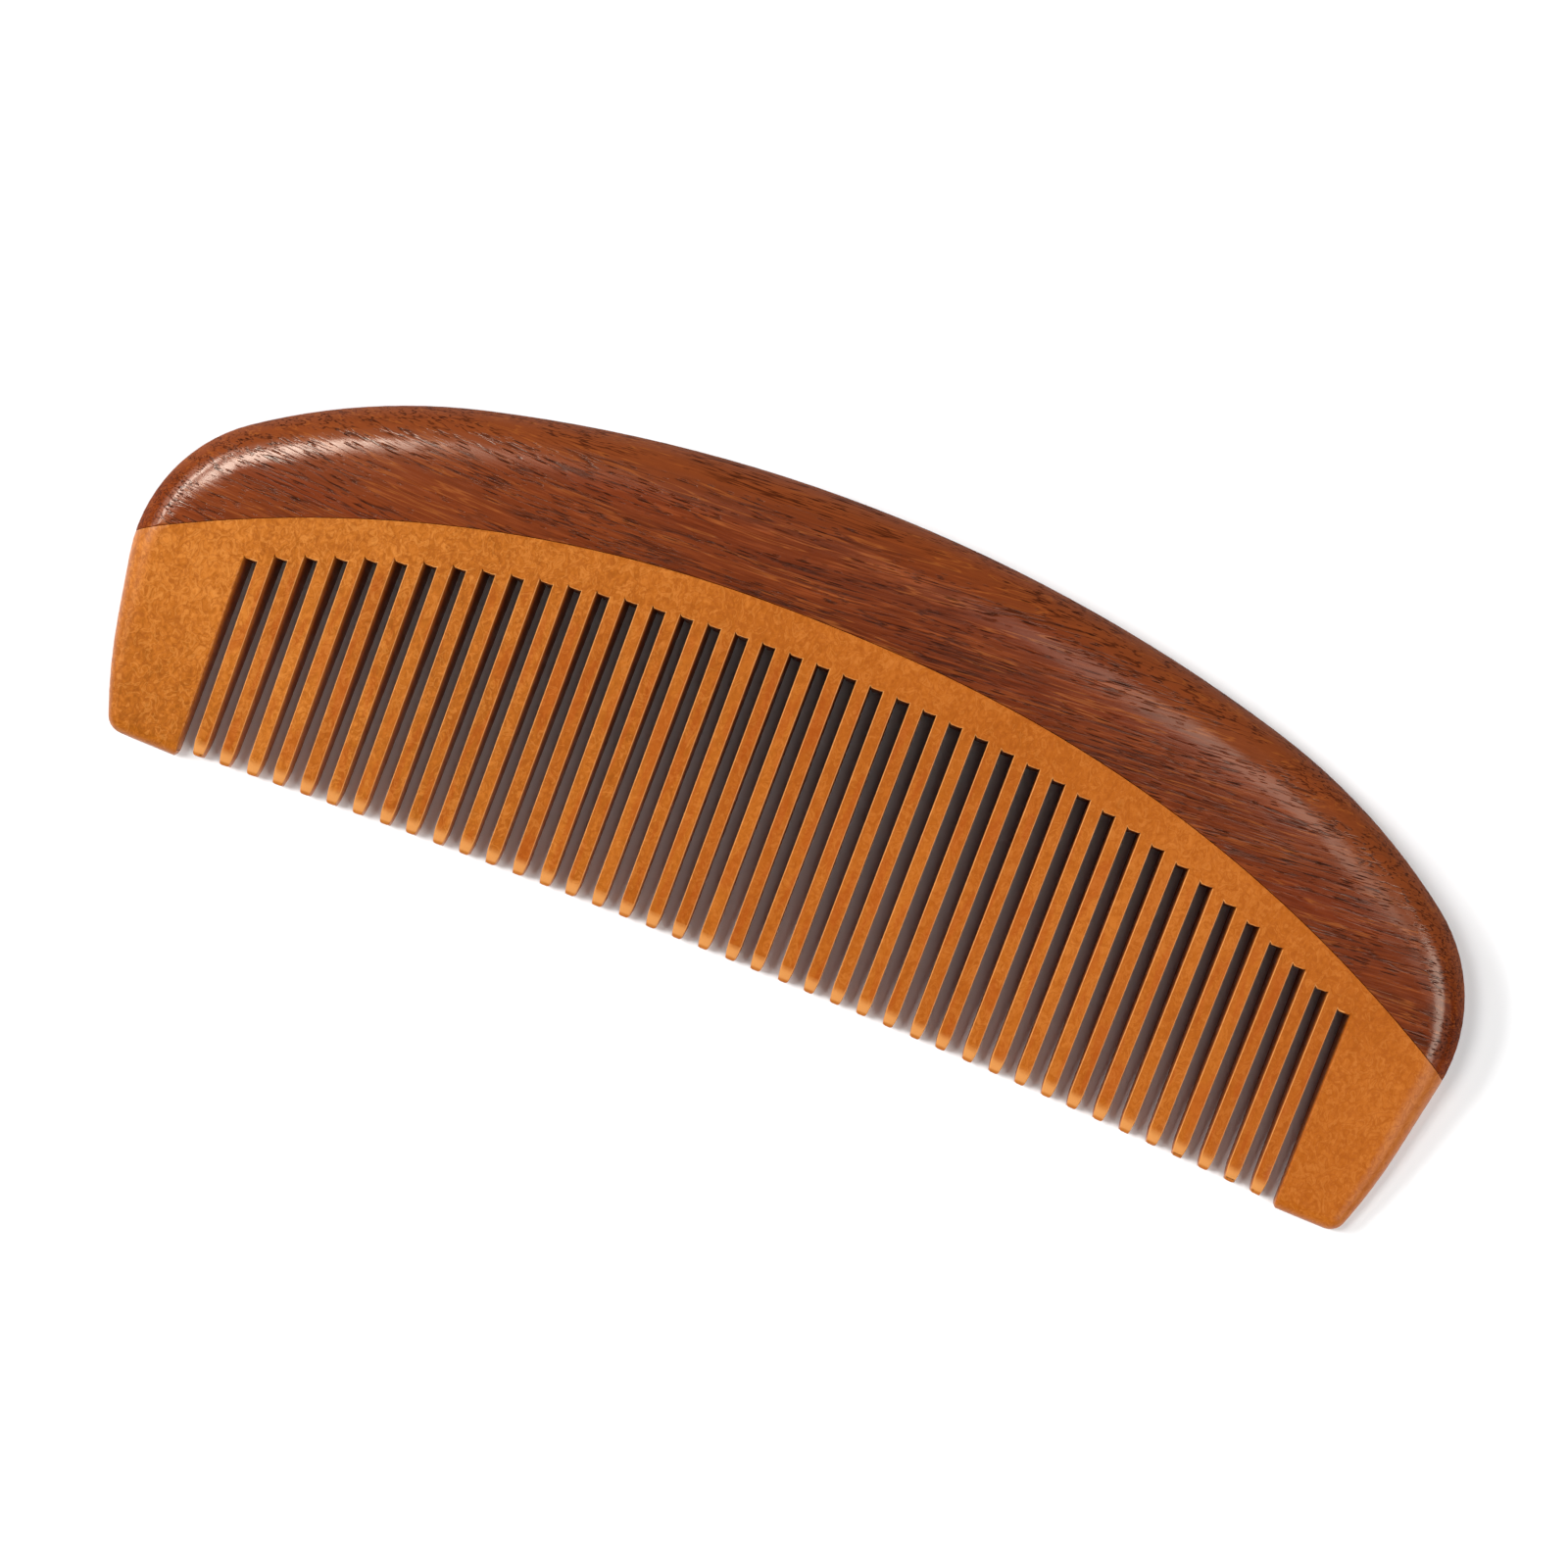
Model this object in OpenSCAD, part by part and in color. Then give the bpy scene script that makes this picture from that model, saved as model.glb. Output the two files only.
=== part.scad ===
// Fine-tooth wooden comb, lying flat: a dark crescent back glued to a sawn tooth plate.
// X runs along the comb, +Y points from the teeth to the crest, Z is up.
// The origin is under the middle of the comb's box, on the surface it lies on.

/* [Wedge] */
// Height from the guard ends to the crest of the back
comb_height = 52.2; // [50:0.1:54]
// Thickness of the flat faces' wedge at the guard ends
guard_thickness = 2.4; // [2:0.1:3.5]
// Thickness of the flat faces' wedge at the crest line
crest_thickness = 11.6; // [9:0.1:13]
// Width of the guards' rounded edge as a share of the half thickness
guard_fullness = 1.12; // [0.8:0.01:1.3]
// Width of the crest's softer rounded edge as a share of the half thickness
crest_fullness = 1.8; // [1.3:0.05:2]
// Height above the guard ends at which the edge begins to soften
soft_start = 22; // [20:1:26]
// Height from which the edge is as soft as on the crest
soft_end = 38; // [34:1:42]

/* [Outline] */
// Radius of the long arc over the crest
crown_radius = 175.5; // [168:0.5:190]
// Angle of the crest arc on each side of the middle
crown_angle = 14.9; // [13:0.1:17]
// Radius of the shoulder arcs beside the crest
shoulder_radius = 68.9; // [62:0.1:72]
// Angle of each shoulder arc
shoulder_angle = 20.9; // [19:0.1:24]
// Radius of the tight arcs at both ends
end_radius = 17.6; // [15:0.1:19]
// Slant of the left guard's outer side, inwards to its foot
left_slant = 10.7; // [8:0.1:13]
// Slant of the right guard's outer side
right_slant = 9.3; // [8:0.1:13]
// Slant that the left side has reached at its foot
left_foot_slant = 21; // [16:0.1:24]
// Slant that the right side has reached at its foot
right_foot_slant = 18.6; // [16:0.1:24]
// Radius at which the guards' outer sides bow in
guard_side_radius = 60; // [40:1:70]
// Outer corner radius at the left guard's foot
left_corner_radius = 2; // [1.8:0.1:2.5]
// Outer corner radius at the right guard's foot
right_corner_radius = 1.8; // [1.8:0.1:2.5]
// Inner corner radius at the foot of each guard
guard_inner_radius = 0.8; // [0.5:0.1:1.5]

/* [Seam] */
// Height of the seam's crest above the guard ends
seam_height = 38.8; // [37:0.1:40]
// Drop of the seam's arch from its crest to the ends of the comb
arch_drop = 19; // [16:0.1:20]
// Power of the arch: 2 is a parabola, more is flatter on top
arch_power = 2.22; // [2:0.01:2.6]
// Offset of the seam's crest from the middle of the comb, as cut by hand
seam_offset = -1.4; // [-3:0.1:3]
// Thickness of the glue line
glue_gap = 0.05; // [0.03:0.01:0.15]

/* [Teeth] */
// Number of saw slots
slot_count = 42; // [36:2:42]
// Distance from tooth to tooth
tooth_pitch = 3.03; // [2.9:0.01:3.03]
// Offset of the tooth row from the middle of the comb
row_offset = 0.7; // [-1:0.1:1]
// Lean of the saw cuts from square, so that their roots lie to the left
slot_lean = 1.4; // [0:0.1:2]
// Width of each slot at its root
slot_width = 1.48; // [1.4:0.01:1.7]
// Extra width of each slot where the tips begin to taper
slot_draft = 0.08; // [0:0.01:0.15]
// Height the saw's left edge cut past the middle of each root
left_overcut = 0.2; // [0:0.01:0.4]
// Height the saw's right edge cut past the middle of each root
right_overcut = 0.08; // [0:0.01:0.4]
// Width left on the blunt end of each tooth
tip_width = 1; // [0.6:0.01:1.2]
// Length over which the tips taper
tip_taper = 2; // [1.5:0.1:4]
// Height of the solid web between the seam and the slot roots
web_height = 4.3; // [3.5:0.1:6]
// Offset of the root arch's crest from the middle of the comb
root_offset = -0.5; // [-3:0.1:3]
// Height of the highest tip above the guard ends
tip_height = 2.35; // [1.8:0.05:3]
// Offset of the highest tip from the middle of the comb
tip_offset = -1.7; // [-3:0.1:3]
// Radius of the shallow arc through the tips
tip_arc_radius = 1140; // [1000:10:1600]

/* [Hidden] */

// Chords on each arc of half the outline, and rings round the rounded edge
crown_steps = 14;
shoulder_steps = 12;
end_steps = 12;
turn_steps = 2;
side_steps = 4;
corner_steps = 5;
edge_rings = 16;
seam_steps = 60;
taper_steps = 6;
inner_corner_steps = 4;

quarter_turn = 90;
half_turn = 180;

// Reach of the cutting bodies past the comb, the seam past its ends, the slots past the guards
reach = 20;
seam_margin = 3;
mouth_depth = 1;

// Power of the cosine in the crest's edge: 1 is an ellipse, less meets the flat faces more gently
crest_power = 0.67;

// Share of a slot's half width where its overcut begins
overcut_start = 0.7;
// Angle of the guards' inner arcs, and how far below the guard ends they reach their lowest point
inner_corner_angle = 80;
inner_corner_dip = 0.15;

// Facets of the tip arc's circle
$fn = 720;

first_slot_x = row_offset - (slot_count - 1) / 2 * tooth_pitch;

// Half the wedge's thickness at height y above the guard ends
function half_thickness(y) =
    (guard_thickness + (crest_thickness - guard_thickness) * y / comb_height) / 2;

// Height of the seam's arch at place x, with its crest at the given offset
function arch_height(x, offset) =
    seam_height - arch_drop * pow(abs(x - offset) / half_length, arch_power);

// Height of the arc of tips at place x
function tip_arc_height(x) =
    tip_height - tip_arc_radius + sqrt(pow(tip_arc_radius, 2) - pow(x - tip_offset, 2));

// Height of the root of the leaning slot whose middle stands at place x
function root_height(x) =
    let (upright = arch_height(x, root_offset) - web_height)
    arch_height(x - upright * tan(slot_lean), root_offset) - web_height;

// Heading turns clockwise from +X, and each outline point is [x, y, heading]
function arc_point(start, radius, heading) = [
    start.x + radius * (sin(heading) - sin(start.z)),
    start.y + radius * (cos(heading) - cos(start.z)),
    heading
];
function arc_points(start, radius, angle, steps) = [
    for (step = [1:steps]) arc_point(start, radius, start.z + angle * step / steps)
];

// Right half of the outline, from the crest down to the widest place
crown = arc_points([0, comb_height, 0], crown_radius, crown_angle, crown_steps);
shoulder = arc_points(crown[crown_steps - 1], shoulder_radius, shoulder_angle, shoulder_steps);
end_angle = quarter_turn - crown_angle - shoulder_angle;
bow_end = arc_points(shoulder[shoulder_steps - 1], end_radius, end_angle, end_steps);
widest = bow_end[end_steps - 1];
half_length = widest.x;
upper_half = concat(crown, shoulder, bow_end);

// A guard's outer side from the widest place down to its foot, drawn as on the right
function guard_side(slant, foot_slant, corner_radius) =
    let (turn_in = arc_points(widest, end_radius, slant, turn_steps))
    let (side_top = turn_in[turn_steps - 1])
    let (bow_drop = guard_side_radius * (sin(foot_slant) - sin(slant)))
    let (bow_y = bow_drop + corner_radius * (1 - sin(foot_slant)))
    let (bow_x = side_top.x - (side_top.y - bow_y) * tan(slant))
    let (bow_start = [bow_x, bow_y, quarter_turn + slant])
    let (bow = arc_points(bow_start, guard_side_radius, foot_slant - slant, side_steps))
    let (corner_angle = quarter_turn - foot_slant)
    let (corner = arc_points(bow[side_steps - 1], corner_radius, corner_angle, corner_steps))
    concat(turn_in, [bow_start], bow, corner);

right_half = concat(upper_half, guard_side(right_slant, right_foot_slant, right_corner_radius));
left_drawn = concat(upper_half, guard_side(left_slant, left_foot_slant, left_corner_radius));
left_half = [
    for (i = [len(left_drawn) - 1:-1:0]) [-left_drawn[i].x, left_drawn[i].y, -left_drawn[i].z]
];
outline = concat([[0, comb_height, 0]], right_half, left_half);
outline_count = len(outline);

// How far the edge has softened at height y above the guard ends, from 0 to 1
function softness(y) =
    let (share = min(max((y - soft_start) / (soft_end - soft_start), 0), 1))
    share * share * (3 - 2 * share);

// A point of the rounded edge: the angle runs from the lower face to the upper one
function edge_point(point, angle) =
    let (soft = softness(point.y))
    let (width = half_thickness(point.y) * (guard_fullness + (crest_fullness - guard_fullness) * soft))
    let (inset = width * (1 - pow(cos(angle), 1 - (1 - crest_power) * soft)))
    let (x = point.x - sin(point.z) * inset)
    let (y = point.y - cos(point.z) * inset)
    [x, y - comb_height / 2, half_thickness(y) * (1 + sin(angle))];

// The whole comb before it is parted and sawn: two flat faces and a rounded edge
module blank() {
    points = [
        for (ring = [0:edge_rings]) for (point = outline)
            edge_point(point, half_turn * ring / edge_rings - quarter_turn)
    ];
    lower_face = [for (i = [outline_count - 1:-1:0]) i];
    upper_face = [for (i = [0:outline_count - 1]) edge_rings * outline_count + i];
    edge_faces = [
        for (ring = [0:edge_rings - 1]) for (i = [0:outline_count - 1])
            let (low = ring * outline_count)
            let (next = (i + 1) % outline_count)
            each [
                [low + i, low + next, low + outline_count + i],
                [low + next, low + outline_count + next, low + outline_count + i]
            ]
    ];
    polyhedron(points = points, faces = concat([lower_face, upper_face], edge_faces));
}

// Everything on the teeth's side of the seam, drawn back from it by the given gap
module below_seam(gap) {
    start = -half_length - seam_margin;
    step = -2 * start / seam_steps;
    arch = [
        for (i = [0:seam_steps])
            [start + i * step, arch_height(start + i * step, seam_offset) - gap]
    ];
    translate([0, -comb_height / 2, -reach])
        linear_extrude(crest_thickness + 2 * reach)
            polygon(concat(arch, [[-start, -reach], [start, -reach]]));
}

// A tooth's side from where it begins to taper to just past its tip, as half widths of the slot
function tooth_flank(x) =
    let (throat = (slot_width + slot_draft) / 2)
    let (flare = (tooth_pitch - tip_width) / 2 - throat)
    [
        for (step = [0:taper_steps + 1])
            let (share = step / taper_steps)
            [throat + flare * share * share, tip_arc_height(x) + tip_taper * (1 - share)]
    ];

// A guard's straight inner side and its rounded foot, as half widths of the slot
function guard_flank() = [
    for (step = [0:inner_corner_steps])
        let (angle = inner_corner_angle * step / inner_corner_steps)
        let (inset = guard_inner_radius * (1 - cos(angle)))
        [slot_width / 2 + inset, guard_inner_radius * (1 - sin(angle)) - inner_corner_dip]
];

// One long side of a slot, from its root to past the tips
function slot_side(side, x, overcut, flank) =
    let (root_y = root_height(x))
    let (corner = [slot_width / 2, root_y + overcut])
    let (mouth = [flank[len(flank) - 1].x, -mouth_depth])
    [for (point = concat([[corner.x * overcut_start, root_y], corner], flank, [mouth]))
        [side * point.x, point.y]];

// Saw slot by its number: the two outer slots have a guard on one side
module slot_outline(slot) {
    x = first_slot_x + slot * tooth_pitch;
    left = slot_side(-1, x, left_overcut, slot > 0 ? tooth_flank(x) : guard_flank());
    right = slot_side(1, x, right_overcut, slot < slot_count - 1 ? tooth_flank(x) : guard_flank());
    translate([x, -comb_height / 2])
        rotate(slot_lean)
            polygon(concat(left, [for (i = [len(right) - 1:-1:0]) right[i]]));
}

module slots() {
    translate([0, 0, -reach])
        linear_extrude(crest_thickness + 2 * reach)
            for (slot = [0:slot_count - 1]) slot_outline(slot);
}

// The space under the arc of tips, between the middles of the two outer slots
module tip_clearance() {
    row_length = (slot_count - 1) * tooth_pitch;
    intersection() {
        translate([tip_offset, tip_height - tip_arc_radius - comb_height / 2, -reach])
            cylinder(r = tip_arc_radius, h = crest_thickness + 2 * reach);
        translate([first_slot_x, -comb_height / 2 - reach, -reach])
            cube([row_length, comb_height, crest_thickness + 2 * reach]);
    }
}

module back() {
    color("#6e331f")
        difference() {
            blank();
            below_seam(0);
        }
}

module tooth_plate() {
    color("#c8742f")
        difference() {
            intersection() {
                blank();
                below_seam(glue_gap);
            }
            slots();
            tip_clearance();
        }
}

back();
tooth_plate();
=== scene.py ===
"""A fine-tooth wooden comb on a pale table: a dark crescent back glued to an orange-brown tooth plate."""

import math
import random

import bmesh
import bpy
from mathutils import Matrix, Vector


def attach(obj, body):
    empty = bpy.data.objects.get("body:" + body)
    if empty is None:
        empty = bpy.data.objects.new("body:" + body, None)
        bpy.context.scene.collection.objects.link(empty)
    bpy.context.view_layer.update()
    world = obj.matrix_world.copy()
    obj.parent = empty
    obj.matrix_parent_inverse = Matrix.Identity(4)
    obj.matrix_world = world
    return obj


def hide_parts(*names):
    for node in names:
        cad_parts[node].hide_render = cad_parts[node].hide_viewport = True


MM = 0.001

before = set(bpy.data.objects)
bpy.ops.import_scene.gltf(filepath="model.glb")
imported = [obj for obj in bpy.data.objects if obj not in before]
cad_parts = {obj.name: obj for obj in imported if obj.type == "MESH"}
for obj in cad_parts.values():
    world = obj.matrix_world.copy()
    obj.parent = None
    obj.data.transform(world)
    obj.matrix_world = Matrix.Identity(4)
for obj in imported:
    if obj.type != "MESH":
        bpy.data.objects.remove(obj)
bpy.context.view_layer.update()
scene = bpy.context.scene

# Sizes of the comb, as its solids have them. Heights are measured from the guard ends.
COMB_HEIGHT = 52.2 * MM
HALF_LENGTH = 75.0 * MM
GUARD_THICKNESS = 2.4 * MM
CREST_THICKNESS = 11.6 * MM
FOOT_ROUNDING = 1.5 * MM
SEAM_HEIGHT = 38.8 * MM
ARCH_DROP = 19.0 * MM
ARCH_POWER = 2.22
SEAM_OFFSET = -1.4 * MM
ROOT_OFFSET = -0.5 * MM
WEB_HEIGHT = 4.3 * MM
SLOTS = 42
PITCH = 3.03 * MM
ROW_OFFSET = 0.7 * MM
SLOT_LEAN = math.tan(math.radians(1.4))
TIP_HEIGHT = 2.35 * MM
TIP_OFFSET = -1.7 * MM
TIP_ARC_RADIUS = 1140 * MM
ROW_HALF = (SLOTS - 1) / 2 * PITCH

# How the edges are eased, as widths of their bevels
TOOTH_EDGE = 0.13 * MM
ROOT_EDGE = 0.08 * MM
TIP_END_EDGE = 0.14 * MM
TIP_CORNER = 0.24 * MM
GUARD_EDGE = 0.22 * MM
SEAM_EDGE = 0.035 * MM
EDGE_SEGMENTS = 3

# How near to the seam, the roots and the tips an edge counts as theirs, and how upright a corner is
SEAM_REACH = 0.15 * MM
END_REACH = 0.1 * MM
UPRIGHT = 0.9

# How the teeth's ends are sanded thinner, and how far and how strongly the teeth bend
THINNED_LENGTH = 2.2 * MM
THINNED_SHARE = 0.6
TOOTH_SHIFT = 0.09 * MM
BEND_POWER = 1.5
BEND_SEED = 7

# Heights at which the teeth get lines of edges: close together near the tips, wide above them
TIP_LINES = [0.2 * MM * step for step in range(1, 22)]
TOOTH_LINES = [4 * MM * step for step in range(2, 9)]

# Points nearer than MERGE are one, faces within FLAT_ANGLE are one plane, edges past SHARP_ANGLE are sharp
MERGE = 0.002 * MM
FLAT_ANGLE = math.radians(0.4)
SHARP_ANGLE = math.radians(45)


def seam_height(x):
    """Height of the glued seam at place x along the comb."""
    return SEAM_HEIGHT - ARCH_DROP * (abs(x - SEAM_OFFSET) / HALF_LENGTH) ** ARCH_POWER


def root_height(x):
    """Height of the slots' roots at place x."""
    return SEAM_HEIGHT - ARCH_DROP * (abs(x - ROOT_OFFSET) / HALF_LENGTH) ** ARCH_POWER - WEB_HEIGHT


def tip_arc(x):
    """Height of the teeth's tips at place x."""
    return TIP_HEIGHT - TIP_ARC_RADIUS + math.sqrt(TIP_ARC_RADIUS**2 - (x - TIP_OFFSET) ** 2)


def height(point):
    """A point's height above the guard ends."""
    return point.y + COMB_HEIGHT / 2


def thickness(above):
    """The wedge's thickness at a height above the guard ends."""
    return GUARD_THICKNESS + (CREST_THICKNESS - GUARD_THICKNESS) * above / COMB_HEIGHT


def foot_place(point):
    """Where the leaning tooth or slot through a point meets the line of the guard ends."""
    return point.x + height(point) * SLOT_LEAN


def in_tooth_row(point):
    """Whether a point lies between the outermost slots, among the teeth."""
    return abs(foot_place(point) - ROW_OFFSET) < ROW_HALF


def merged_copy(node):
    """The node's solid with its doubles merged and its flat faces whole."""
    solid = bmesh.new()
    solid.from_mesh(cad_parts[node].data)
    bmesh.ops.remove_doubles(solid, verts=solid.verts, dist=MERGE)
    whole_faces(solid)
    return solid


def whole_faces(solid):
    """Joins neighbouring faces that lie in one plane."""
    bmesh.ops.dissolve_limit(
        solid, angle_limit=FLAT_ANGLE, verts=solid.verts, edges=solid.edges
    )


def square_tips(solid):
    """Carries the teeth's flat faces on to their ends, where the wedge's foot would round them."""
    for vert in solid.verts:
        above = height(vert.co)
        if in_tooth_row(vert.co) and above < FOOT_ROUNDING:
            full = thickness(above)
            vert.co.z = full if vert.co.z > full / 2 else 0
    whole_faces(solid)


def edge_width(edge):
    """The bevel that a sharp edge gets, by where it is on the comb."""
    if len(edge.link_faces) != 2 or edge.calc_face_angle() < SHARP_ANGLE:
        return 0
    middle = (edge.verts[0].co + edge.verts[1].co) / 2
    above = height(middle)
    along = (edge.verts[1].co - edge.verts[0].co).normalized()
    if above > seam_height(middle.x) - SEAM_REACH:
        return SEAM_EDGE
    if not in_tooth_row(middle):
        return GUARD_EDGE
    if abs(along.z) > UPRIGHT:
        return TIP_CORNER if above < tip_arc(middle.x) + MM else 0
    if above < tip_arc(middle.x) + END_REACH:
        return TIP_END_EDGE
    if above > root_height(middle.x) - END_REACH:
        return ROOT_EDGE
    return TOOTH_EDGE


def eased(solid, name):
    """Bevels the solid's sharp edges, each by its own width, and gives the result as a bmesh."""
    weights = solid.edges.layers.float.new("bevel_weight_edge")
    widest = max(TIP_CORNER, GUARD_EDGE)
    for edge in solid.edges:
        edge[weights] = edge_width(edge) / widest
    mesh = bpy.data.meshes.new(name)
    solid.to_mesh(mesh)
    solid.free()
    piece = bpy.data.objects.new(name, mesh)
    scene.collection.objects.link(piece)
    bevel = piece.modifiers.new("eased edges", "BEVEL")
    bevel.limit_method = "WEIGHT"
    bevel.width = widest
    bevel.segments = EDGE_SEGMENTS
    bevel.use_clamp_overlap = False
    bpy.context.view_layer.update()
    done = bmesh.new()
    done.from_object(piece, bpy.context.evaluated_depsgraph_get())
    bpy.data.objects.remove(piece)
    bpy.data.meshes.remove(mesh)
    return done


def cut_across(solid, levels):
    """Adds a line of edges at each height, so that the teeth can bend and thin."""
    for level in levels:
        bmesh.ops.bisect_plane(
            solid,
            geom=solid.verts[:] + solid.edges[:] + solid.faces[:],
            dist=MERGE,
            plane_co=(0, level - COMB_HEIGHT / 2, 0),
            plane_no=(0, 1, 0),
        )


def thin_tips(solid, length, left):
    """Sands the teeth's ends thinner over the given length, to the given share of their thickness."""
    for vert in solid.verts:
        above = height(vert.co)
        past = above - tip_arc(vert.co.x)
        if in_tooth_row(vert.co) and past < length:
            middle = thickness(above) / 2
            share = 1 - (1 - left) * (1 - max(past, 0) / length) ** 2
            vert.co.z = middle + (vert.co.z - middle) * share


def bend_teeth(solid, reach):
    """Sets each tooth a little off its place, more towards its tip, as fine saw cuts leave them."""
    chance = random.Random(BEND_SEED)
    shifts = [chance.uniform(-reach, reach) for _ in range(SLOTS)]
    for vert in solid.verts:
        root = root_height(vert.co.x)
        if in_tooth_row(vert.co) and height(vert.co) < root:
            tooth = round((foot_place(vert.co) - ROW_OFFSET + ROW_HALF) / PITCH - 0.5)
            vert.co.x += shifts[tooth] * ((root - height(vert.co)) / root) ** BEND_POWER


def finish_piece(solid, name, node, material):
    """Turns the bmesh into the piece that stands for the CAD node."""
    mesh = bpy.data.meshes.new(name)
    solid.to_mesh(mesh)
    solid.free()
    mesh.shade_smooth()
    mesh.set_sharp_from_angle(angle=SHARP_ANGLE)
    mesh.materials.clear()
    mesh.materials.append(material)
    piece = bpy.data.objects.new(name, mesh)
    scene.collection.objects.link(piece)
    shading = piece.modifiers.new("even shading", "WEIGHTED_NORMAL")
    shading.keep_sharp = True
    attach(piece, "root")
    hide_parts(node)
    return piece


class Signal:
    """A socket of a material's node tree, on which Python arithmetic adds Math nodes."""

    def __init__(self, tree, socket=None):
        self.tree = tree
        self.socket = socket

    def node(self, kind, settings, inputs, output=0):
        """Adds a node: its settings first, then the values or links of its sockets."""
        made = self.tree.nodes.new(kind)
        for name, value in settings.items():
            if name == "stops":
                self.set_stops(made.color_ramp, value)
            else:
                setattr(made, name, value)
        for name, value in inputs.items():
            if isinstance(value, Signal):
                self.tree.links.new(value.socket, made.inputs[name])
            else:
                made.inputs[name].default_value = value
        return Signal(self.tree, made.outputs[output] if made.outputs else None)

    @staticmethod
    def set_stops(ramp, stops):
        """Gives a colour ramp its stops: each a place from 0 to 1 and a colour."""
        while len(ramp.elements) < len(stops):
            ramp.elements.new(1)
        for element, (place, colour) in zip(ramp.elements, stops):
            element.position = place
            element.color = colour

    def maths(self, operation, first, second=0.0):
        return self.node("ShaderNodeMath", {"operation": operation}, {0: first, 1: second})

    def __add__(self, other):
        return self.maths("ADD", self, other)

    def __sub__(self, other):
        return self.maths("SUBTRACT", self, other)

    def __rsub__(self, other):
        return self.maths("SUBTRACT", other, self)

    def __mul__(self, other):
        return self.maths("MULTIPLY", self, other)

    def __pow__(self, other):
        return self.maths("POWER", self, other)

    def __abs__(self):
        return self.maths("ABSOLUTE", self)

    __radd__ = __add__
    __rmul__ = __mul__

    def least(self, other):
        return self.maths("MINIMUM", self, other)

    def most(self, other):
        return self.maths("MAXIMUM", self, other)

    def rise(self, start, end):
        """0 before start, 1 after end and smooth between them, where end may be the smaller."""
        if end < start:
            return 1 - self.rise(end, start)
        return self.node(
            "ShaderNodeMapRange",
            {"interpolation_type": "SMOOTHSTEP"},
            {"Value": self, "From Min": start, "From Max": end},
        )


# The warm tint of what the woods mirror, and the roughness of wood without gloss
SHEEN_TINT = (1.0, 0.86, 0.72, 1.0)
DULL_ROUGHNESS = 0.9

MIX_FACTOR, MIX_UNDER, MIX_OVER, MIX_RESULT = 0, 6, 7, 2


def shade(red, green, blue):
    """A colour as seen on a screen, from 0 to 255, as the light it stands for."""
    parts = [part / 255 for part in (red, green, blue)]
    light = [
        part / 12.92 if part <= 0.04045 else ((part + 0.055) / 1.055) ** 2.4 for part in parts
    ]
    return (*light, 1)


def laid_over(mask, under, over):
    """One colour laid over another where the mask is 1."""
    return mask.node(
        "ShaderNodeMix",
        {"data_type": "RGBA"},
        {MIX_FACTOR: mask, MIX_UNDER: under, MIX_OVER: over},
        MIX_RESULT,
    )


def grain_space(place, size, offset=(0, 0, 0)):
    """Coordinates in which a pattern of unit size gets the given size in metres on the comb."""
    return place.node(
        "ShaderNodeMapping",
        {"vector_type": "TEXTURE"},
        {"Vector": place, "Location": offset, "Scale": size},
    )


def noise(place, size, detail=2.0, roughness=0.5, distortion=0.0, offset=(0, 0, 0)):
    """A cloudy pattern from 0 to 1, with the given size in metres."""
    return place.node(
        "ShaderNodeTexNoise",
        {},
        {
            "Vector": grain_space(place, size, offset),
            "Scale": 1.0,
            "Detail": detail,
            "Roughness": roughness,
            "Distortion": distortion,
        },
    )


def pores(place, size, fill, keep, offset=(0, 0, 0)):
    """Short open pores: ellipsoids strewn along the grain, of which a share is kept."""
    cells = grain_space(place, size, offset)
    near = place.node("ShaderNodeTexVoronoi", {}, {"Vector": cells, "Scale": 1.0})
    chance = Signal(place.tree, near.socket.node.outputs["Color"])
    drawn = chance.node("ShaderNodeSeparateColor", {}, {"Color": chance})
    return near.rise(fill, fill * 0.55) * drawn.rise(keep, keep - 0.08)


def wavering(place, size, reach, offset=(0, 0, 0)):
    """The place moved about by a slow noise, so that straight grain wavers."""
    slow = place.node(
        "ShaderNodeTexNoise",
        {},
        {"Vector": grain_space(place, size, offset), "Scale": 1.0, "Detail": 1.0},
        1,
    )
    centred = place.node(
        "ShaderNodeVectorMath", {"operation": "SUBTRACT"}, {0: slow, 1: (0.5, 0.5, 0.5)}
    )
    scaled = place.node(
        "ShaderNodeVectorMath", {"operation": "MULTIPLY"}, {0: centred, 1: reach}
    )
    return place.node("ShaderNodeVectorMath", {"operation": "ADD"}, {0: place, 1: scaled})


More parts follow.
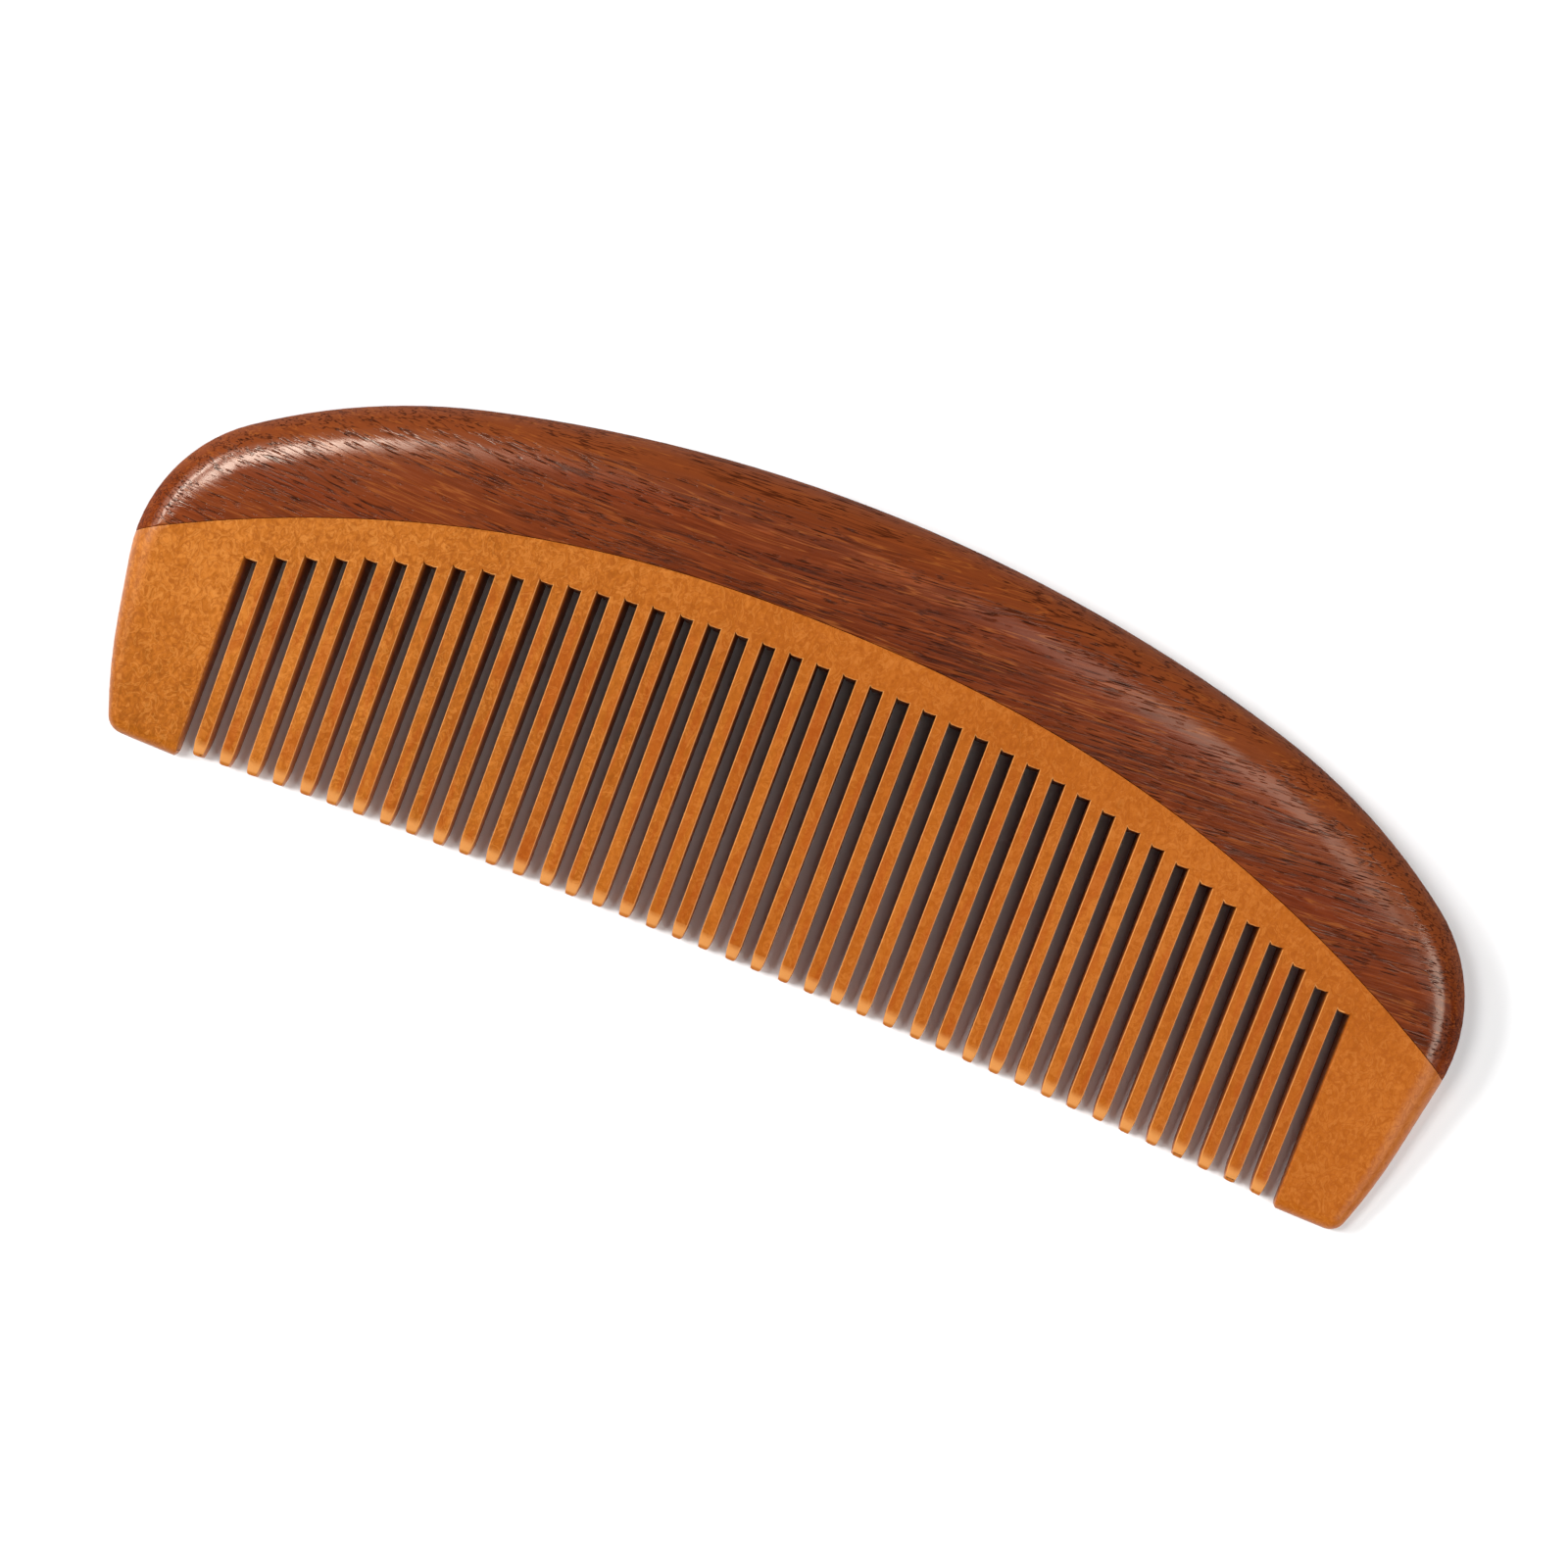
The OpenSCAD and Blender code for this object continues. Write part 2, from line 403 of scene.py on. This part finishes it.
class Wood:
    """A new material, with its place on the comb and how much the surface there faces up or down."""

    def __init__(self, name):
        self.material = bpy.data.materials.new(name)
        self.material.use_nodes = True
        self.material.node_tree.nodes.clear()
        start = Signal(self.material.node_tree)
        self.place = start.node("ShaderNodeTexCoord", {}, {}, "Object")
        normal = Signal(start.tree, self.place.socket.node.outputs["Normal"])
        self.x, self.y, self.z = self.parts(self.place)
        self.flatness = abs(self.parts(normal)[2])

    @staticmethod
    def parts(vector):
        """The three parts of a vector."""
        split = vector.node("ShaderNodeSeparateXYZ", {}, {"Vector": vector})
        return [Signal(vector.tree, split.socket.node.outputs[axis]) for axis in "XYZ"]

    def polished(self, base, roughness, relief, depth, ior):
        """The wood's surface: its colour, gloss and relief."""
        bump = self.place.node(
            "ShaderNodeBump", {}, {"Height": relief, "Distance": depth, "Strength": 1.0}
        )
        return self.place.node(
            "ShaderNodeBsdfPrincipled",
            {},
            {
                "Base Color": base,
                "Roughness": roughness,
                "Normal": bump,
                "IOR": ior,
                "Specular Tint": SHEEN_TINT,
            },
        )

    def dull(self, base):
        """Wood without gloss, as inside an open pore or where the edge isn't polished."""
        return self.place.node(
            "ShaderNodeBsdfPrincipled",
            {},
            {"Base Color": base, "Roughness": DULL_ROUGHNESS, "Specular IOR Level": 0.0},
        )

    def cover(self, surface):
        """Makes the surface the material's own, and gives the finished material."""
        self.place.node("ShaderNodeOutputMaterial", {}, {"Surface": surface})
        return self.material


def thin_lines(pattern, level, width):
    """1 along the thin lines on which a smooth pattern has the given level."""
    return abs(pattern - level).rise(width, 0.0)


# The back's grain rises to the right by this angle and curves up again at the left
GRAIN_LEAN = math.radians(4.5)
GRAIN_BOW = 1060 * MM

# The back is painted paler and greyer above an arc along its rim, which starts this far below the crest:
# partly the rim's own wood, partly a painted reflection of the pale table
RIM_ARC_RADIUS = 130 * MM
RIM_BELOW_CREST = 3 * MM

# How deep the fine relief of each wood is
DARK_RELIEF = 0.025 * MM
LIGHT_RELIEF = 0.02 * MM


def dark_wood():
    """Red-brown hardwood with long dark and light streaks, open pores and a satin gloss."""
    wood = Wood("dark_wood")
    x, y = wood.x, wood.y
    left = x.least(0.0)
    lean = x * math.tan(GRAIN_LEAN) + left * left * (1 / GRAIN_BOW)
    straight = wood.place.node(
        "ShaderNodeCombineXYZ", {}, {"X": x, "Y": y - lean, "Z": wood.z}
    )
    grain = wavering(straight, (30 * MM, 9 * MM, 9 * MM), (0, 1.8 * MM, 1.8 * MM))
    bands = noise(grain, (50 * MM, 2.4 * MM, 2.4 * MM), detail=3)
    streaks = noise(grain, (10 * MM, 0.55 * MM, 0.55 * MM), detail=3, roughness=0.6)
    fibres = noise(grain, (5 * MM, 0.2 * MM, 0.2 * MM), detail=2)
    colour = wood.place.node(
        "ShaderNodeValToRGB",
        {
            "stops": [
                (0.36, shade(69, 25, 6)),
                (0.46, shade(91, 34, 8)),
                (0.54, shade(100, 40, 10)),
                (0.64, shade(125, 56, 18)),
            ]
        },
        {"Fac": bands * 0.3 + streaks * 0.28 + fibres * 0.42},
    )
    red = noise(grain, (40 * MM, 4.5 * MM, 4.5 * MM), detail=1, offset=(0.1, 0.02, 0))
    # Lighter and more orange towards the left end: partly the wood's tone, partly painted light from the
    # lamps on the left.
    colour = laid_over(x.rise(0.0, -60 * MM) * 0.35, colour, shade(132, 60, 22))
    colour = laid_over(red.rise(0.5, 0.7) * 0.25, colour, shade(111, 36, 9))
    # Paler, greyer rim: partly the wood, partly a painted reflection of the pale table on the rounded rim.
    rim = y - (COMB_HEIGHT / 2 - RIM_BELOW_CREST) + x * x * (1 / (2 * RIM_ARC_RADIUS))
    colour = laid_over(rim.rise(-3 * MM, 2 * MM) * 0.6, colour, shade(125, 64, 33))
    patches = noise(grain, (16 * MM, 2.2 * MM, 2.2 * MM), detail=1, offset=(0.3, 0, 0))
    veins = noise(grain, (12 * MM, 0.6 * MM, 0.6 * MM), detail=2, offset=(0.07, 0.03, 0))
    dark_lines = thin_lines(veins, 0.5, 0.045) * patches.rise(0.35, 0.55)
    light_lines = thin_lines(veins, 0.6, 0.04) * patches.rise(0.65, 0.45)
    colour = laid_over(dark_lines * 0.75, colour, shade(44, 14, 5))
    colour = laid_over(light_lines * 0.5, colour, shade(149, 81, 33))
    long_pores = pores(grain, (3.8 * MM, 0.27 * MM, 0.27 * MM), 0.32, 0.5)
    short_pores = pores(grain, (1.7 * MM, 0.22 * MM, 0.22 * MM), 0.32, 0.5, offset=(0.05, 0.01, 0))
    open_pores = (long_pores + short_pores * 0.8).least(1.0) * patches.rise(0.28, 0.5)
    relief = fibres * 0.35 + streaks * 0.35 - open_pores - dark_lines * 0.5
    roughness = 0.2 + (fibres - 0.5) * 0.14
    polish = wood.polished(colour, roughness, relief, DARK_RELIEF, 1.6)
    edge = wood.flatness.rise(0.97, 0.935) * 0.88
    wear_and_sheen = wood.place.node("ShaderNodeMixShader", {}, {0: edge, 1: polish, 2: wood.dull(colour)})
    inside = wood.dull(shade(34, 12, 5))
    surface = wood.place.node(
        "ShaderNodeMixShader", {}, {0: open_pores * 0.85, 1: wear_and_sheen, 2: inside}
    )
    return wood.cover(surface)


def light_wood():
    """Close-grained orange-brown wood with fine curled flecks, its fibres running down the teeth."""
    wood = Wood("light_wood")
    x, y, place = wood.x, wood.y, wood.place
    grain = wavering(place, (9 * MM, 30 * MM, 9 * MM), (0.8 * MM, 0, 0.8 * MM))
    broad = noise(place, (26 * MM, 20 * MM, 26 * MM), detail=1)
    streaks = noise(grain, (0.55 * MM, 14 * MM, 0.55 * MM), detail=3, roughness=0.6)
    flecks = noise(place, (0.7 * MM, 0.9 * MM, 0.7 * MM), detail=3, roughness=0.6, distortion=1.2)
    curls = noise(place, (1.2 * MM, 1.5 * MM, 1.2 * MM), detail=2, distortion=1.6, offset=(0.02, 0, 0))
    fibres = noise(grain, (0.12 * MM, 2.5 * MM, 0.12 * MM), detail=2)
    colour = place.node(
        "ShaderNodeValToRGB",
        {
            "stops": [
                (0.36, shade(135, 72, 14)),
                (0.5, shade(163, 90, 23)),
                (0.64, shade(187, 112, 41)),
            ]
        },
        {"Fac": flecks * 0.5 + streaks * 0.14 + broad * 0.28 + fibres * 0.08},
    )
    reach = abs(x * (1 / HALF_LENGTH) - ROOT_OFFSET / HALF_LENGTH)
    roots = (SEAM_HEIGHT - WEB_HEIGHT - COMB_HEIGHT / 2) - reach**ARCH_POWER * ARCH_DROP
    foot = x + (y + COMB_HEIGHT / 2) * SLOT_LEAN - ROW_OFFSET
    in_row = abs(foot).rise(ROW_HALF + 0.2 * MM, ROW_HALF)
    down_tooth = (y - roots).rise(0.0, -3 * MM) * in_row
    colour = laid_over(thin_lines(curls, 0.5, 0.06) * 0.45, colour, shade(131, 64, 12))
    colour = laid_over(thin_lines(curls, 0.6, 0.06) * 0.4, colour, shade(192, 123, 56))
    # Darker, deeper orange towards the right: partly the wood's tone, partly painted shade where the light
    # from the lamps on the left falls off.
    colour = laid_over(x.rise(-60 * MM, 20 * MM) * 0.45, colour, shade(153, 73, 9))
    tooth = place.node("ShaderNodeMath", {"operation": "FLOOR"}, {0: (foot + ROW_HALF) * (1 / PITCH)})
    tone = place.node(
        "ShaderNodeTexWhiteNoise", {"noise_dimensions": "1D"}, {"W": tooth}, "Value"
    )
    tone = (tone - 0.5) * down_tooth
    colour = laid_over(tone.most(0.0) * 0.5, colour, shade(175, 99, 30))
    colour = laid_over((tone * -1).most(0.0) * 0.5, colour, shade(141, 62, 9))
    beside = noise(grain, (1.1 * MM, 22 * MM, 1.1 * MM), detail=1, offset=(0.01, 0.05, 0))
    colour = laid_over(beside.rise(0.5, 0.64) * down_tooth * 0.3, colour, shade(148, 57, 7))
    at_tips = (TIP_HEIGHT - COMB_HEIGHT / 2) - (x - TIP_OFFSET) ** 2 * (1 / (2 * TIP_ARC_RADIUS))
    past_tip = y - at_tips
    colour = laid_over(past_tip.rise(1.6 * MM, 0.4 * MM) * in_row * 0.35, colour, shade(186, 115, 52))
    # The teeth's eased edges are painted pale: partly sanded wear, partly a painted highlight where the
    # edges catch the light.
    rounded = wood.flatness.rise(0.975, 0.9) * wood.flatness.rise(0.25, 0.5)
    wear_and_sheen = rounded * in_row * (y - roots).rise(0.3 * MM, 0.1 * MM) * past_tip.rise(0.2 * MM, 0.5 * MM)
    colour = laid_over(wear_and_sheen * 0.8, colour, shade(206, 141, 78))
    relief = flecks * 0.3 + fibres * 0.5 + streaks * 0.2
    roughness = 0.34 + (flecks - 0.5) * 0.2
    return wood.cover(wood.polished(colour, roughness, relief, LIGHT_RELIEF, 1.3))


def comb_back():
    """The dark crescent along the crest."""
    solid = eased(merged_copy("back"), "comb_back")
    return finish_piece(solid, "comb_back", "back", dark_wood())


def comb_plate():
    """The sawn plate: web, guards and teeth."""
    solid = merged_copy("tooth_plate")
    square_tips(solid)
    solid = eased(solid, "comb_plate")
    cut_across(solid, TIP_LINES + TOOTH_LINES)
    thin_tips(solid, THINNED_LENGTH, THINNED_SHARE)
    bend_teeth(solid, TOOTH_SHIFT)
    return finish_piece(solid, "comb_plate", "tooth_plate", light_wood())


# The pale surface that the comb lies on: half its width, its paint, and its clearance under the comb
TABLE_REACH = 3.0
TABLE_PAINT = (0.9, 0.9, 0.9, 1)
TABLE_CLEARANCE = 0.01 * MM


def table():
    """The pale surface under the comb."""
    bm = bmesh.new()
    bmesh.ops.create_grid(bm, x_segments=1, y_segments=1, size=TABLE_REACH)
    bmesh.ops.translate(bm, verts=bm.verts, vec=(0, 0, -TABLE_CLEARANCE))
    mesh = bpy.data.meshes.new("table")
    bm.to_mesh(mesh)
    bm.free()
    material = bpy.data.materials.new("pale_table")
    material.use_nodes = True
    paint = material.node_tree.nodes["Principled BSDF"]
    paint.inputs["Base Color"].default_value = TABLE_PAINT
    paint.inputs["Roughness"].default_value = 1.0
    paint.inputs["Specular IOR Level"].default_value = 0.0
    mesh.materials.append(material)
    surface = bpy.data.objects.new("table", mesh)
    scene.collection.objects.link(surface)


# The soft lights: name, heading from +X and elevation in degrees, width and height, and power in watts
LIGHTS = [
    ("left_box", 176, 64, (0.42, 0.42), 9.5),
    ("side_box", 178, 36, (0.75, 0.6), 28.0),
    ("right_box", -14, 42, (1.2, 1.2), 21.0),
    ("overhead_box", -8, 80, (0.5, 0.38), 1.6),
]
LIGHT_DISTANCE = 1.6


def soft_box(name, heading, elevation, size, power):
    """A large soft light that faces the comb from the given heading, in degrees from +X."""
    lamp = bpy.data.lights.new(name, "AREA")
    lamp.shape = "RECTANGLE"
    lamp.size, lamp.size_y = size
    lamp.energy = power
    turn, lift = math.radians(heading), math.radians(elevation)
    towards = Vector(
        (math.cos(turn) * math.cos(lift), math.sin(turn) * math.cos(lift), math.sin(lift))
    )
    box = bpy.data.objects.new(name, lamp)
    box.location = towards * LIGHT_DISTANCE
    box.rotation_euler = towards.to_track_quat("Z", "Y").to_euler()
    scene.collection.objects.link(box)


def studio():
    """Soft light from all sides, with the space over the camera left dim, and four light boxes."""
    world = bpy.data.worlds.new("studio")
    scene.world = world
    world.use_nodes = True
    world.node_tree.nodes.clear()
    start = Signal(world.node_tree)
    way = start.node("ShaderNodeTexCoord", {}, {}, "Generated")
    parts = way.node("ShaderNodeSeparateXYZ", {}, {"Vector": way}, "Z")
    glow = parts.node(
        "ShaderNodeValToRGB",
        {
            "stops": [
                (0.0, (0.5, 0.5, 0.5, 1)),
                (0.06, (0.45, 0.45, 0.45, 1)),
                (0.2, (0.1, 0.1, 0.105, 1)),
                (0.5, (0.05, 0.05, 0.052, 1)),
            ]
        },
        {"Fac": parts},
    )
    sky = glow.node("ShaderNodeBackground", {}, {"Color": glow, "Strength": 1.0})
    sky.node("ShaderNodeOutputWorld", {}, {"Surface": sky})
    for light in LIGHTS:
        soft_box(*light)


# The camera's place and the point it looks at, its roll as the picture's upward heading, and its lens
CAMERA_PLACE = Vector((13.586, -10.553, 417.235)) * MM
CAMERA_TARGET = Vector((-0.905, -4.364, 5.0)) * MM
CAMERA_UP_HEADING = math.radians(112.282)
LENS_MM = 90
SENSOR_MM = 36
NEAREST = 0.01


def camera():
    """Looks down on the comb, a little from its teeth's side, with the comb turned clockwise."""
    lens = bpy.data.cameras.new("camera")
    lens.sensor_width = SENSOR_MM
    lens.lens = LENS_MM
    lens.clip_start = NEAREST
    view = bpy.data.objects.new("camera", lens)
    place = CAMERA_PLACE
    forward = (CAMERA_TARGET - place).normalized()
    upward = Vector((math.cos(CAMERA_UP_HEADING), math.sin(CAMERA_UP_HEADING), 0))
    right = forward.cross(upward).normalized()
    up = right.cross(forward)
    view.matrix_world = Matrix(
        (
            (right.x, up.x, -forward.x, place.x),
            (right.y, up.y, -forward.y, place.y),
            (right.z, up.z, -forward.z, place.z),
            (0, 0, 0, 1),
        )
    )
    scene.collection.objects.link(view)
    scene.camera = view


comb_back()
comb_plate()
table()
studio()
camera()
scene.view_settings.view_transform = "Standard"
